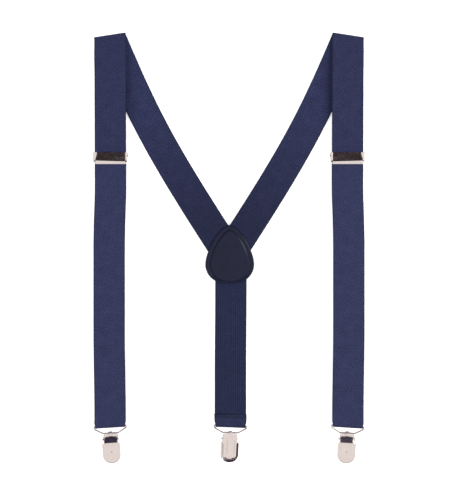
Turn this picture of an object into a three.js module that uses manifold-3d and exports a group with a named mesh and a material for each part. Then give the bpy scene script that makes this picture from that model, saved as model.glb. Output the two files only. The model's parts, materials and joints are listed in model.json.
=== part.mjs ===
// Y-back clip-on suspenders, laid flat with the front straps folded down over the shoulders.
// Millimetres. +X is the wearer's spread of the straps, +Y runs from the clips to the shoulder folds, +Z is up.
import * as THREE from 'three';
import Module from 'manifold-3d';
import { mergeVertices } from 'three/addons/utils/BufferGeometryUtils.js';

const wasm = await Module();
wasm.setup();

// ---- driving dimensions ----
const GAP = 0.3; // running clearance between neighbouring pieces
const WEB_W = 35; // elastic webbing, 1-3/8 in
const WEB_T = 1.2;
const FRONT_X = 132.4; // centre of each front strap
const FOLD_Y = 234.4; // centre of the shoulder fold line
const FOLD_TILT = 8.8; // degrees, fold line rises towards the middle
const FOLD_R = 1.8; // centreline radius of the folded webbing
const CENTRE_X = 1.6; // centre strap
const PATCH_X = 0.8;
const BAR_R = 0.9; // wire loop
const BAR_Z = WEB_T + GAP + BAR_R; // wire bar resting inside the strap's turn
const FRONT_BAR_Y = -197.8;
const CENTRE_BAR_Y = -197.5;
const FRONT_TILT = 3.6; // degrees, front clips lean
const CENTRE_TILT = 2.2;
const CENTRE_LIFT = 16.3; // degrees, back wire loop rises to its clip, which lies face down
const WIRE_DROP = 8.3; // upper bar to lower bar
const ADJ_Y = 101.4; // adjuster centre
const ADJ_SHIFT = 0.5; // it sits a little towards the middle of the strap pair
const HEM_TOP_Y = -184.7; // upper edge of the centre strap's hem
const PATCH_TOP = 25.6;
const PATCH_BOTTOM = -40.2;
const PATCH_HALF_W = 27.2;
const PATCH_WIDEST_Y = -18.5;
const LEATHER_T = 1.2;

// ---- finishes ----
const navyOuter = { color: 0x34385a, roughness: 0.85, metalness: 0 };
const navyInner = { color: 0x2c314b, roughness: 0.9, metalness: 0 };
const leather = { color: 0x20222c, roughness: 0.35, metalness: 0 };
const thread = { color: 0x1b2036, roughness: 0.8, metalness: 0 };
const nickel = { color: 0xcfc8c2, roughness: 0.18, metalness: 1 };
const grip = { color: 0x24242a, roughness: 0.6, metalness: 0 };

const rad = THREE.MathUtils.degToRad;
const vec = (x, y, z) => new THREE.Vector3(x, y, z);

// ---- closed solids ----
function solid(geometry) {
  let g = geometry.clone();
  g.deleteAttribute('normal');
  g.deleteAttribute('uv');
  g = mergeVertices(g, 1e-5);
  const mesh = new wasm.Mesh({
    numProp: 3,
    vertProperties: new Float32Array(g.attributes.position.array),
    triVerts: new Uint32Array(g.index.array),
  });
  return new wasm.Manifold(mesh);
}

function toGeometry(body) {
  const mesh = body.getMesh();
  const g = new THREE.BufferGeometry();
  g.setAttribute('position', new THREE.BufferAttribute(new Float32Array(mesh.vertProperties), 3));
  g.setIndex(new THREE.BufferAttribute(new Uint32Array(mesh.triVerts), 1));
  return g;
}

function union(parts) {
  return parts.reduce((sum, part) => sum.add(part));
}

// Skin over equal-sized rings of points; open runs are capped, closed runs join end to start.
function loft(rings, closed = false) {
  const n = rings[0].length;
  const points = rings.flat();
  const faces = [];
  const runs = closed ? rings.length : rings.length - 1;
  for (let i = 0; i < runs; i += 1) {
    const a = i * n;
    const b = ((i + 1) % rings.length) * n;
    for (let j = 0; j < n; j += 1) {
      const k = (j + 1) % n;
      faces.push(a + j, b + j, b + k, a + j, b + k, a + k);
    }
  }
  if (!closed) {
    const last = (rings.length - 1) * n;
    for (let j = 1; j < n - 1; j += 1) {
      faces.push(0, j, j + 1);
      faces.push(last, last + j + 1, last + j);
    }
  }
  let volume = 0;
  const cross = new THREE.Vector3();
  for (let f = 0; f < faces.length; f += 3) {
    cross.crossVectors(points[faces[f + 1]], points[faces[f + 2]]);
    volume += points[faces[f]].dot(cross);
  }
  if (volume < 0) {
    faces.reverse();
  }
  const g = new THREE.BufferGeometry();
  g.setAttribute('position', new THREE.Float32BufferAttribute(points.flatMap((p) => p.toArray()), 3));
  g.setIndex(faces);
  return g;
}

function shapeOf(points) {
  return new THREE.Shape(points.map(([a, b]) => new THREE.Vector2(a, b)));
}

// Outline in X and Y, raised from z0 to z1.
function plate(points, z0, z1) {
  const g = new THREE.ExtrudeGeometry(shapeOf(points), { depth: z1 - z0, bevelEnabled: false });
  return g.translate(0, 0, z0);
}

// Outline in Y and Z, run across X from x0 to x1.
function profile(points, x0, x1) {
  const g = new THREE.ExtrudeGeometry(shapeOf(points), { depth: x1 - x0, bevelEnabled: false });
  const turn = new THREE.Matrix4().set(0, 0, 1, x0, 1, 0, 0, 0, 0, 1, 0, 0, 0, 0, 0, 1);
  return g.applyMatrix4(turn);
}

function box(x0, x1, y0, y1, z0, z1) {
  return plate([[x0, y0], [x1, y0], [x1, y1], [x0, y1]], z0, z1);
}

function rod(r, x0, x1, y, z, sides = 16) {
  return profile(arc(y, z, r, 0, 360 - 360 / sides, sides - 1), x0, x1);
}

// Points on an arc in a plane, from angle a0 to a1 in degrees.
function arc(cx, cy, r, a0, a1, steps) {
  const out = [];
  for (let i = 0; i <= steps; i += 1) {
    const a = rad(a0 + ((a1 - a0) * i) / steps);
    out.push([cx + r * Math.cos(a), cy + r * Math.sin(a)]);
  }
  return out;
}

// Unit normals along a line of points, square to the average of the two neighbouring runs.
function normalsOf(path) {
  return path.map((p, i) => {
    const a = path[Math.max(0, i - 1)];
    const b = path[Math.min(path.length - 1, i + 1)];
    const before = new THREE.Vector2(p[0] - a[0], p[1] - a[1]).normalize();
    const after = new THREE.Vector2(b[0] - p[0], b[1] - p[1]).normalize();
    const t = before.clone().add(after).normalize();
    const run = i === 0 ? after : before;
    const stretch = 1 / Math.max(0.5, t.dot(run));
    return [-t.y * stretch, t.x * stretch];
  });
}

// Outline of a bent sheet of metal seen from its side.
function bentSheet(path, t) {
  const normals = normalsOf(path);
  const left = path.map((p, i) => [p[0] + normals[i][0] * t / 2, p[1] + normals[i][1] * t / 2]);
  const right = path.map((p, i) => [p[0] - normals[i][0] * t / 2, p[1] - normals[i][1] * t / 2]);
  return right.concat(left.reverse());
}

// Webbing that runs along Y and Z. lean(y) is the slope of its crosswise lines, half(y) half its width.
function webbing(path, lean, half) {
  const normals = normalsOf(path);
  const rings = path.map(([y, z], i) => {
    const [ny, nz] = normals[i];
    const h = half(y, z);
    const slope = lean(y);
    const corner = (side, face) => vec(
      side * h,
      y + side * h * slope + ny * face * WEB_T / 2,
      z + nz * face * WEB_T / 2,
    );
    return [corner(-1, -1), corner(1, -1), corner(1, 1), corner(-1, 1)];
  });
  return loft(rings);
}

function smooth(from, to, value) {
  return THREE.MathUtils.smoothstep(value, Math.min(from, to), Math.max(from, to));
}

function named(name, geometry, finish) {
  const mesh = new THREE.Mesh(geometry, new THREE.MeshStandardMaterial(finish));
  mesh.name = name;
  return mesh;
}

// ---- webbing ----
// Diagonal back strap: leaves the fold at twice the fold's tilt and curves in to the patch.
function backStrap(side) {
  const start = new THREE.Vector2(-FRONT_X, FOLD_Y);
  const lead = rad(2 * FOLD_TILT);
  const leadLength = 82;
  const end = new THREE.Vector2(0, -9.2);
  const middle = start.clone().add(new THREE.Vector2(Math.sin(lead), -Math.cos(lead)).multiplyScalar(leadLength));
  const curve = new THREE.QuadraticBezierCurve(start, middle, end);
  const foldLine = new THREE.Vector2(Math.cos(rad(FOLD_TILT)), Math.sin(rad(FOLD_TILT)));
  const steps = 30;
  const rings = [];
  for (let i = 0; i <= steps; i += 1) {
    const p = curve.getPoint(i / steps);
    const t = curve.getTangent(i / steps);
    const across = new THREE.Vector2(-t.y, t.x);
    let half = WEB_W / 2;
    if (i === 0) {
      across.copy(foldLine);
      half /= Math.cos(rad(FOLD_TILT));
      p.add(new THREE.Vector2(Math.sin(rad(FOLD_TILT)), -Math.cos(rad(FOLD_TILT))).multiplyScalar(GAP));
    }
    const rise = 1 - smooth(38, 58, p.y);
    const z = WEB_T / 2 + rise * (LEATHER_T + GAP);
    const corner = (s, f) => vec(p.x + s * across.x * half, p.y + s * across.y * half, z + f * WEB_T / 2);
    rings.push([corner(-1, -1), corner(1, -1), corner(1, 1), corner(-1, 1)]);
  }
  const far = 400;
  const keep = box(-far, -GAP / 2, -8, far, -1, 10);
  const g = toGeometry(solid(loft(rings)).intersect(solid(keep)));
  return side < 0 ? g : mirrored(g);
}

function mirrored(geometry) {
  const g = geometry.clone().scale(-1, 1, 1);
  g.setIndex(Array.from(g.index.array).reverse());
  return g;
}

// Half-round turn of webbing over the shoulder, about the fold line.
function shoulderFold(side) {
  const tilt = side * rad(FOLD_TILT);
  const across = vec(Math.cos(tilt), -Math.sin(tilt), 0).multiplyScalar(WEB_W / 2 / Math.cos(tilt));
  const outward = vec(Math.sin(tilt), Math.cos(tilt), 0);
  const steps = 10;
  const rings = [];
  for (let i = 0; i <= steps; i += 1) {
    const a = rad(-90 + (180 * i) / steps);
    const dir = outward.clone().multiplyScalar(Math.cos(a)).add(vec(0, 0, Math.sin(a)));
    const corner = (s, f) => dir.clone().multiplyScalar(FOLD_R + f * WEB_T / 2).addScaledVector(across, s);
    rings.push([corner(-1, -1), corner(1, -1), corner(1, 1), corner(-1, 1)]);
  }
  return loft(rings);
}

const slideZ = 4.7; // centre of the webbing that slides through an adjuster

// Single front strap from the shoulder fold to the adjuster.
function frontStrap(side) {
  const top = FOLD_Y - GAP;
  const foot = ADJ_Y + 7.6;
  const travel = 42; // flat run that the adjuster can climb
  const path = [
    [top, BAR_Z + FOLD_R],
    [top - 22, BAR_Z + FOLD_R - 0.3],
    [top - 55, BAR_Z + FOLD_R - 0.2],
    [foot + travel, slideZ],
    [foot, slideZ],
  ];
  const slope = -side * Math.tan(rad(FOLD_TILT));
  return webbing(path, (y) => (y === top ? slope : 0), () => WEB_W / 2);
}

// Doubled lower strap: from the adjuster down, round the wire loop, and back up to the adjuster's rear bar.
function lowerLoop(side) {
  const layer = WEB_T / 2;
  const second = layer + WEB_T + GAP;
  const bar = FRONT_BAR_Y;
  const turn = BAR_R + GAP + WEB_T / 2;
  const rearR = (second - layer) / 2 + 0.55;
  const rearY = ADJ_Y - 1.6;
  const rearZ = layer + rearR;
  const path = [
    [ADJ_Y + 7.3, slideZ],
    [ADJ_Y - 7, slideZ],
    [ADJ_Y - 10.5, 3.7],
    [ADJ_Y - 21, 3.7],
    [ADJ_Y - 26, second],
    [bar + 60, second],
    [bar + 13, second],
    [bar + 5, BAR_Z + turn - 0.5],
    ...arc(bar, BAR_Z, turn, 90, 270, 12),
    [bar + 13, layer],
    [bar + 60, layer],
    ...arc(rearY, rearZ, rearR, -90, 90, 10),
    [ADJ_Y - 6, rearZ + rearR],
    [ADJ_Y - 9.5, second],
    [ADJ_Y - 19.5, second],
  ];
  const slope = -side * Math.tan(rad(FRONT_TILT));
  const lean = (y) => slope * (1 - smooth(bar + 12, bar + 60, y));
  const half = (y) => WEB_W / 2 - 0.8 * (1 - smooth(bar + 3, bar + 14, y));
  return webbing(path, lean, half);
}

// Centre strap from the patch to its hem round the back wire loop.
function centreStrap() {
  const layer = WEB_T / 2;
  const bar = CENTRE_BAR_Y;
  const turn = BAR_R + GAP + WEB_T / 2;
  const path = [
    [-8 - GAP, layer + LEATHER_T + GAP],
    [PATCH_BOTTOM - 3, layer + LEATHER_T + GAP],
    [PATCH_BOTTOM - 10, layer + 0.75],
    [PATCH_BOTTOM - 18, layer],
    [bar + 60, layer],
    [bar + 12, layer],
    ...arc(bar, BAR_Z, turn, 270, 90, 12),
    [bar + 3, BAR_Z + turn - 0.3],
    [bar + 6.2, layer + WEB_T + GAP],
    [HEM_TOP_Y, layer + WEB_T + GAP],
  ];
  const slope = -Math.tan(rad(CENTRE_TILT));
  const lean = (y) => slope * (1 - smooth(bar + 14, bar + 60, y));
  const half = (y) => WEB_W / 2 - 0.8 * (1 - smooth(bar + 3, bar + 11, y));
  return webbing(path, lean, half);
}

// Zigzag sewing thread lying on the hem.
function hemStitch() {
  const halfThread = 0.25;
  const points = 22;
  const y = HEM_TOP_Y - 3.4;
  const z = 2 * WEB_T + GAP + GAP + halfThread;
  const slope = -Math.tan(rad(CENTRE_TILT));
  const rings = [];
  for (let i = 0; i <= points; i += 1) {
    const x = -15.6 + (31.2 * i) / points;
    const offset = i % 2 === 0 ? 1.1 : -1.1;
    const corner = (s, f) => vec(x, y + x * slope + offset + s * 0.35, z + f * halfThread);
    rings.push([corner(-1, -1), corner(1, -1), corner(1, 1), corner(-1, 1)]);
  }
  return loft(rings);
}

// ---- leather patch ----
function patchOutline(inset) {
  const right = new THREE.CurvePath();
  const widest = new THREE.Vector2(PATCH_HALF_W, PATCH_WIDEST_Y);
  right.add(new THREE.CubicBezierCurve(
    new THREE.Vector2(0, PATCH_BOTTOM),
    new THREE.Vector2(22, PATCH_BOTTOM),
    new THREE.Vector2(PATCH_HALF_W, PATCH_WIDEST_Y - 7.5),
    widest,
  ));
  right.add(new THREE.CubicBezierCurve(
    widest,
    new THREE.Vector2(PATCH_HALF_W, PATCH_WIDEST_Y + 13.5),
    new THREE.Vector2(13, PATCH_TOP - 1.8),
    new THREE.Vector2(0, PATCH_TOP),
  ));
  const half = right.getPoints(11).slice(1, -1);
  const points = [[0, PATCH_BOTTOM], ...half.map((p) => [p.x, p.y]), [0, PATCH_TOP]];
  half.reverse().forEach((p) => points.push([-p.x, p.y]));
  const n = points.length;
  return points.map((p, i) => {
    const a = points[(i + n - 1) % n];
    const b = points[(i + 1) % n];
    const t = new THREE.Vector2(b[0] - a[0], b[1] - a[1]).normalize();
    return [p[0] - t.y * inset, p[1] + t.x * inset];
  });
}

function ringBand(outer, inner, z0, z1) {
  const shape = shapeOf(outer);
  shape.holes.push(shapeOf(inner));
  const g = new THREE.ExtrudeGeometry(shape, { depth: z1 - z0, bevelEnabled: false });
  return g.translate(0, 0, z0);
}

const seamInset = 4.2;
const seamDepth = 0.6;

// One leather layer with the stitch channel cut in its outer face.
function patchLayer(z0, channelOnTop) {
  const body = solid(plate(patchOutline(0), z0, z0 + LEATHER_T));
  const low = channelOnTop ? z0 + LEATHER_T - seamDepth : z0 - 1;
  const high = channelOnTop ? z0 + LEATHER_T + 1 : z0 + seamDepth;
  const channel = solid(ringBand(patchOutline(seamInset - 0.7), patchOutline(seamInset + 0.7), low, high));
  return toGeometry(body.subtract(channel));
}

function patchSeam(z0) {
  return toGeometry(solid(ringBand(patchOutline(seamInset - 0.35), patchOutline(seamInset + 0.35), z0, z0 + 0.4)));
}

// ---- adjuster; origin on the floor under its centre ----
const PIN_Y = 3.4;
const PIN_Z = 7.5;
const PIN_R = 0.7;
const EAR_IN = WEB_W / 2 + ADJ_SHIFT + GAP;
const EAR_OUT = EAR_IN + 0.7;
const FLANGE_IN = 16.6; // the ears' tops are turned inwards
const LEVER_HALF = FLANGE_IN - 0.4;

function adjusterFrame() {
  const side = [[-6.4, 1.3], [1.8, 1.3], [5.4, 2.8], [5.2, 8.0], [4.4, 9.2], [-2.6, 9.2], [-6.4, 4.8]];
  const ears = [profile(side, -EAR_OUT, -EAR_IN), profile(side, EAR_IN, EAR_OUT)];
  const rearBar = box(-EAR_IN - 0.4, EAR_IN + 0.4, -5.2, -1.8, 1.5, 2.4);
  const anvil = box(-EAR_IN - 0.4, EAR_IN + 0.4, 1.8, 5.2, 2.9, 3.8);
  const flanges = [box(-EAR_OUT, -FLANGE_IN, -2.6, 4.4, 8.6, 9.2), box(FLANGE_IN, EAR_OUT, -2.6, 4.4, 8.6, 9.2)];
  const body = union([...ears, ...flanges, rearBar, anvil].map(solid));
  return toGeometry(body.subtract(solid(rod(PIN_R + GAP, -30, 30, PIN_Y, PIN_Z))));
}

function adjusterLever() {
  const half = WEB_W / 2;
  const barrelR = PIN_R + GAP + 0.65;
  const sheet = [
    [PIN_Y + 0.2, PIN_Z + barrelR - 0.35],
    [2.6, 8.65],
    [-4.2, 6.68],
    [-5.2, 6.5],
    [-8.1, 6.55],
  ];
  const lipTop = -4.6;
  const plan = [
    [LEVER_HALF, 9], [-LEVER_HALF, 9], [-LEVER_HALF, lipTop], [-half, lipTop - 0.4],
    [-half, -9], [half, -9], [half, lipTop - 0.4], [LEVER_HALF, lipTop],
  ];
  const teeth = 11;
  const comb = [[-16, 6.3]];
  for (let i = 0; i <= 2 * teeth; i += 1) {
    comb.push([-16 + (32 * i) / (2 * teeth), i % 2 === 0 ? 6.0 : 5.6]);
  }
  comb.push([16, 6.3]);
  const rack = plate(comb, -0.5, 0.5).rotateX(Math.PI / 2).translate(0, PIN_Y, 0);
  const barrel = rod(barrelR, -LEVER_HALF, LEVER_HALF, PIN_Y, PIN_Z, 20);
  const blade = solid(profile(bentSheet(sheet, 0.7), -half, half)).intersect(solid(plate(plan, 0, 12)));
  const body = union([solid(barrel), blade, solid(rack)]);
  return toGeometry(body.subtract(solid(rod(PIN_R + GAP, -30, 30, PIN_Y, PIN_Z))));
}

function adjuster(name, side) {
  const group = new THREE.Group();
  group.name = `adjuster_${name}`;
  group.position.set(side * (FRONT_X - ADJ_SHIFT), ADJ_Y, 0);
  group.add(named(`adjuster_frame_${name}`, adjusterFrame(), nickel));
  group.add(named(`adjuster_lever_${name}`, adjusterLever(), nickel));
  group.add(named(`adjuster_pin_${name}`, rod(PIN_R, -EAR_OUT - 0.5, EAR_OUT + 0.5, PIN_Y, PIN_Z), nickel));
  return group;
}

// ---- wire loop; origin at its upper bar, lower bar at -Y ----
function wireLoop() {
  const corners = [[-8.6, -WIRE_DROP], [8.6, -WIRE_DROP], [17.9, -3.2], [17.9, 0], [-17.9, 0], [-17.9, -3.2]];
  const bend = 1.7;
  const centre = [];
  const n = corners.length;
  for (let i = 0; i < n; i += 1) {
    const p = new THREE.Vector2(...corners[i]);
    const toPrev = new THREE.Vector2(...corners[(i + n - 1) % n]).sub(p).normalize();
    const toNext = new THREE.Vector2(...corners[(i + 1) % n]).sub(p).normalize();
    const a = p.clone().addScaledVector(toPrev, bend);
    const b = p.clone().addScaledVector(toNext, bend);
    centre.push(...new THREE.QuadraticBezierCurve(a, p, b).getPoints(4));
  }
  const count = centre.length;
  const sides = 8;
  const rings = centre.map((p, i) => {
    const t = centre[(i + 1) % count].clone().sub(centre[(i + count - 1) % count]).normalize();
    const ring = [];
    for (let j = 0; j < sides; j += 1) {
      const a = (2 * Math.PI * j) / sides;
      ring.push(vec(
        p.x - t.y * BAR_R * Math.cos(a),
        p.y + t.x * BAR_R * Math.cos(a),
        BAR_R * Math.sin(a),
      ));
    }
    return ring;
  });
  return loft(rings, true);
}

// ---- clip; origin at the wire's lower bar, clip running to -Y, outer face +Z ----
const CLIP_PLATE_END = -28.4;
const CLIP_END = -33.4;
const CLIP_BACK = -BAR_Z; // outer face of the back plate
const CLIP_PIN_Y = -6.7;
const CLIP_PIN_Z = 2.2;
const CLIP_PIN_R = 0.7;
const CLIP_EAR_OUT = 8.3;
const CLIP_EAR_IN = 7.5;
const METAL_T = 0.9;

function clipBody() {
  const mid = CLIP_BACK + METAL_T / 2;
  const top = -1.3;
  const half = 7.4; // below the ears
  const corner = 2;
  const plan = [
    [-CLIP_EAR_OUT, top],
    [-CLIP_EAR_OUT, -12],
    [-half, -13],
    ...arc(-half + corner, CLIP_PLATE_END + corner, corner, 180, 270, 6),
    ...arc(half - corner, CLIP_PLATE_END + corner, corner, 270, 360, 6),
    [half, -13],
    [CLIP_EAR_OUT, -12],
    [CLIP_EAR_OUT, top],
  ];
  const flat = plate(plan, CLIP_BACK, CLIP_BACK + METAL_T);
  const tongueHalf = 2.8;
  const curl = BAR_R + GAP + METAL_T / 2;
  const rolled = [[-5, mid], [-2.6, mid], ...arc(0, 0, curl, -100, 160, 14)];
  const tongue = profile(bentSheet(rolled, METAL_T), -tongueHalf, tongueHalf);
  const earSide = [
    [-3.2, CLIP_BACK],
    [-3.2, 0.8],
    ...arc(CLIP_PIN_Y, CLIP_PIN_Z, 1.9, 30, 150, 6),
    [-10.6, 0.2],
    [-11.6, CLIP_BACK],
  ];
  const ears = [profile(earSide, -CLIP_EAR_OUT, -CLIP_EAR_IN), profile(earSide, CLIP_EAR_IN, CLIP_EAR_OUT)];
  let body = union([flat, tongue, ...ears].map(solid));
  body = body.subtract(solid(rod(CLIP_PIN_R + GAP, -12, 12, CLIP_PIN_Y, CLIP_PIN_Z)));
  for (const x of [-3.4, 3.4]) {
    const groove = box(x - 0.9, x + 0.9, CLIP_PLATE_END + 4, -6, CLIP_BACK - 1, CLIP_BACK + 0.35);
    body = body.subtract(solid(groove));
  }
  return toGeometry(body);
}

function gripInsert() {
  const low = CLIP_BACK + METAL_T + GAP;
  const high = CLIP_BACK + 1.7;
  const ridges = 4;
  const first = -13.6;
  const pitch = 2.2;
  const side = [[first, low], [first + ridges * pitch, low]];
  for (let i = ridges; i > 0; i -= 1) {
    side.push([first + i * pitch - 0.2, high], [first + (i - 1) * pitch + 1.0, high], [first + (i - 1) * pitch, low + 0.25]);
  }
  side.pop();
  side.push([first, high - 0.2]);
  return profile(side, -CLIP_EAR_IN + 0.7, CLIP_EAR_IN - 0.7);
}

function clipLever() {
  const tabHalf = 10.15;
  const tabTop = -11.1;
  const neckHalf = CLIP_EAR_IN - 0.4;
  const sheet = [[CLIP_END, 2.2], [-31.5, 2.55], [-27, 3.15], [-21, 3.6], [-15, 3.8], [tabTop, 4.2]];
  const tabEnd = -24.5;
  const tab = [[tabHalf, tabEnd], [tabHalf, 0], [-tabHalf, 0]];
  for (let i = 0; i < 14; i += 1) {
    const a = rad(180 + (180 * i) / 14);
    tab.push([tabHalf * Math.cos(a), tabEnd + (tabEnd - CLIP_END) * Math.sin(a)]);
  }
  const blade = solid(profile(bentSheet(sheet, 1.0), -tabHalf, tabHalf)).intersect(solid(plate(tab, -10, 10)));
  const cam = [
    [tabTop - 0.2, 3.2],
    [tabTop, 4.7],
    [-4.2, 2.75],
    [-4.2, 1.6],
    [-5.6, 0],
    [-7.2, -0.42],
    [-8.0, -0.32],
    [-8.9, 1.0],
  ];
  let body = blade.add(solid(profile(cam, -neckHalf, neckHalf)));
  body = body.subtract(solid(rod(CLIP_PIN_R + GAP, -12, 12, CLIP_PIN_Y, CLIP_PIN_Z)));
  const dimple = new THREE.SphereGeometry(2.0, 12, 8).translate(0, -21.6, 5.6);
  return toGeometry(body.subtract(solid(dimple)));
}

function clip(name) {
  const group = new THREE.Group();
  group.name = `clip_${name}`;
  group.add(named(`clip_body_${name}`, clipBody(), nickel));
  group.add(named(`clip_grip_${name}`, gripInsert(), grip));
  group.add(named(`clip_lever_${name}`, clipLever(), nickel));
  group.add(named(`clip_pin_${name}`, rod(CLIP_PIN_R, -9.9, 9.9, CLIP_PIN_Y, CLIP_PIN_Z), nickel));
  return group;
}

// ---- assembly ----
function frontSide(name, side) {
  const group = new THREE.Group();
  group.name = `front_${name}`;
  const along = (geometry) => geometry.translate(side * FRONT_X, 0, 0);
  group.add(named(`front_strap_${name}`, along(frontStrap(side)), navyOuter));
  group.add(named(`lower_loop_${name}`, along(lowerLoop(side)), navyOuter));
  const fold = named(`shoulder_fold_${name}`, shoulderFold(side), navyOuter);
  fold.position.set(side * FRONT_X, FOLD_Y, WEB_T / 2 + FOLD_R);
  group.add(fold, adjuster(name, side));

  const hanger = new THREE.Group();
  hanger.name = `hanger_${name}`;
  hanger.position.set(side * FRONT_X, FRONT_BAR_Y, BAR_Z);
  hanger.rotation.z = -side * rad(FRONT_TILT);
  const fastener = clip(name);
  fastener.position.y = -WIRE_DROP;
  hanger.add(named(`wire_loop_${name}`, wireLoop(), nickel), fastener);
  group.add(hanger);
  return group;
}

function backSection() {
  const group = new THREE.Group();
  group.name = 'back_section';
  group.add(named('back_strap_left', backStrap(-1), navyInner));
  group.add(named('back_strap_right', backStrap(1), navyInner));

  const centre = new THREE.Group();
  centre.name = 'centre';
  centre.position.x = CENTRE_X;
  centre.add(named('centre_strap', centreStrap(), navyInner));
  centre.add(named('centre_hem_stitch', hemStitch(), thread));
  const patch = new THREE.Group();
  patch.name = 'patch';
  patch.position.x = PATCH_X;
  const inner = LEATHER_T + WEB_T + 2 * GAP;
  patch.add(named('patch_outer', patchLayer(0, false), leather));
  patch.add(named('patch_inner', patchLayer(inner, true), leather));
  patch.add(named('patch_seam_outer', patchSeam(0.05), thread));
  patch.add(named('patch_seam_inner', patchSeam(inner + LEATHER_T - 0.3), thread));
  group.add(patch);

  const hanger = new THREE.Group();
  hanger.name = 'hanger_back';
  hanger.position.set(0, CENTRE_BAR_Y, BAR_Z);
  hanger.rotation.order = 'ZXY';
  hanger.rotation.z = -rad(CENTRE_TILT);
  const lift = new THREE.Group();
  lift.name = 'lift_back';
  lift.rotation.x = -rad(CENTRE_LIFT);
  lift.add(named('wire_loop_back', wireLoop(), nickel));
  const fastener = clip('back');
  fastener.position.set(0, -WIRE_DROP * Math.cos(rad(CENTRE_LIFT)), WIRE_DROP * Math.sin(rad(CENTRE_LIFT)));
  fastener.rotation.y = Math.PI;
  hanger.add(lift, fastener);
  centre.add(hanger);
  group.add(centre);
  return group;
}

const suspenders = new THREE.Group();
suspenders.name = 'suspenders';
suspenders.add(backSection(), frontSide('left', -1), frontSide('right', 1));

export default suspenders;
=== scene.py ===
"""Y-back clip-on suspenders, laid flat and folded at the shoulders, seen from straight above."""
import json
import math

import bmesh
import bpy
from mathutils import Matrix, Vector


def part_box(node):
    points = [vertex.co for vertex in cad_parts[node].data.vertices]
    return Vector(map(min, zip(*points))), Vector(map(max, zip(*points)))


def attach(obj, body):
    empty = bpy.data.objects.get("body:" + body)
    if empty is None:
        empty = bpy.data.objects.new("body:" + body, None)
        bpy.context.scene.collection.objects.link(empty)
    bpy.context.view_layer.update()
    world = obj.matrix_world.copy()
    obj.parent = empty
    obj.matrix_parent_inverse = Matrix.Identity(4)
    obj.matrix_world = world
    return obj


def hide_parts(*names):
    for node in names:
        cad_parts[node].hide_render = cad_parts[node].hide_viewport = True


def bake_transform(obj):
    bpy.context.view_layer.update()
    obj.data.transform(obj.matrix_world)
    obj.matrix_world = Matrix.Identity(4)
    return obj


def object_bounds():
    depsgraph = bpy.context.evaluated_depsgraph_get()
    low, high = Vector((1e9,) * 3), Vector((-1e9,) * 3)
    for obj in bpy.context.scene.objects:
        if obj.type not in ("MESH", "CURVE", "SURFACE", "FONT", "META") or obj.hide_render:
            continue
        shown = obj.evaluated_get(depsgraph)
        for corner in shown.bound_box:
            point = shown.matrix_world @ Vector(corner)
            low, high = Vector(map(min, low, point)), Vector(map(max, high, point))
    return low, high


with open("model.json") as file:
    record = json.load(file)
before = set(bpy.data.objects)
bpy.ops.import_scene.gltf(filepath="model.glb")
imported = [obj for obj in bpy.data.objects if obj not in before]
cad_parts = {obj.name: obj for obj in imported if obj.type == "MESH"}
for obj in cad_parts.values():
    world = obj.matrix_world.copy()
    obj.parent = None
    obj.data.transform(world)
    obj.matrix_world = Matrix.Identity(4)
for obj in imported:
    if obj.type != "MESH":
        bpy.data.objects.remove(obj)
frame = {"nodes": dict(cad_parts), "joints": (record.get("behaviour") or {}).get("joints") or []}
cad_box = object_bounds()

MM = 0.001
SIDES = {"left": -1, "right": 1}
JOINTS = {j["name"]: j for j in frame["joints"]}
UP = Vector((0, 0, 1))

# Millimetres, local to each piece unless noted.
GAP = 0.3
WEB_T = 1.2
WEB_HALF = 17.5
BAR_R = 0.9
BAR_Z = WEB_T + GAP + BAR_R
TURN_R = BAR_R + GAP + WEB_T / 2
LAYER = WEB_T / 2
SECOND = LAYER + WEB_T + GAP
SLIDE_Z = 4.7
FOLD_R = 1.8
FOLD_BULGE = 0.6
LEATHER_T = 1.2


# ---------------------------------------------------------------- the frame's places, in millimetres
def low(node):
    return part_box(node)[0] / MM


def high(node):
    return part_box(node)[1] / MM


def middle(node):
    return (low(node) + high(node)) / 2


def joint_place(name):
    return Vector(JOINTS[name]["pos_m"]) / MM


def joint_axis(name):
    return Vector(JOINTS[name]["axis"]).normalized()


def local_space(origin, x_axis, y_axis):
    """Matrix from a piece's own millimetres to the row frame in metres."""
    z_axis = x_axis.cross(y_axis)
    turn = Matrix((x_axis, y_axis, z_axis)).transposed().to_4x4()
    return Matrix.Scale(MM, 4) @ Matrix.Translation(origin) @ turn


def clip_space(name):
    x_axis = -joint_axis(f"clip_lever_open_{name}")
    y_axis = Vector((-x_axis.y, x_axis.x, 0))
    if y_axis.y < 0:
        y_axis.negate()
    return local_space(joint_place(f"clip_swing_{name}"), x_axis, y_axis)


def wire_space(name):
    x_axis = -joint_axis(f"wire_swing_{name}")
    top = joint_place(f"wire_swing_{name}")
    y_axis = (top - joint_place(f"clip_swing_{name}")).normalized()
    return local_space(top, x_axis, y_axis)


def adjuster_space(name):
    pin = joint_place(f"adjuster_lever_open_{name}")
    return local_space(Vector((pin.x, pin.y - PIN_Y, 0)), Vector((1, 0, 0)), Vector((0, 1, 0)))


# ---------------------------------------------------------------- shaping helpers
def smooth(a, b, x):
    t = min(1, max(0, (x - a) / (b - a)))
    return t * t * (3 - 2 * t)


def arc(cx, cy, r, a0, a1, steps):
    angles = [math.radians(a0 + (a1 - a0) * i / steps) for i in range(steps + 1)]
    return [(cx + r * math.cos(a), cy + r * math.sin(a)) for a in angles]


def rounded_line(points, passes=2):
    """Corner cutting: each pass replaces every corner by two points."""
    for _ in range(passes):
        out = [points[0]]
        for a, b in zip(points, points[1:]):
            out.append(tuple(p * 0.75 + q * 0.25 for p, q in zip(a, b)))
            out.append(tuple(p * 0.25 + q * 0.75 for p, q in zip(a, b)))
        out.append(points[-1])
        points = out
    return points


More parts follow.
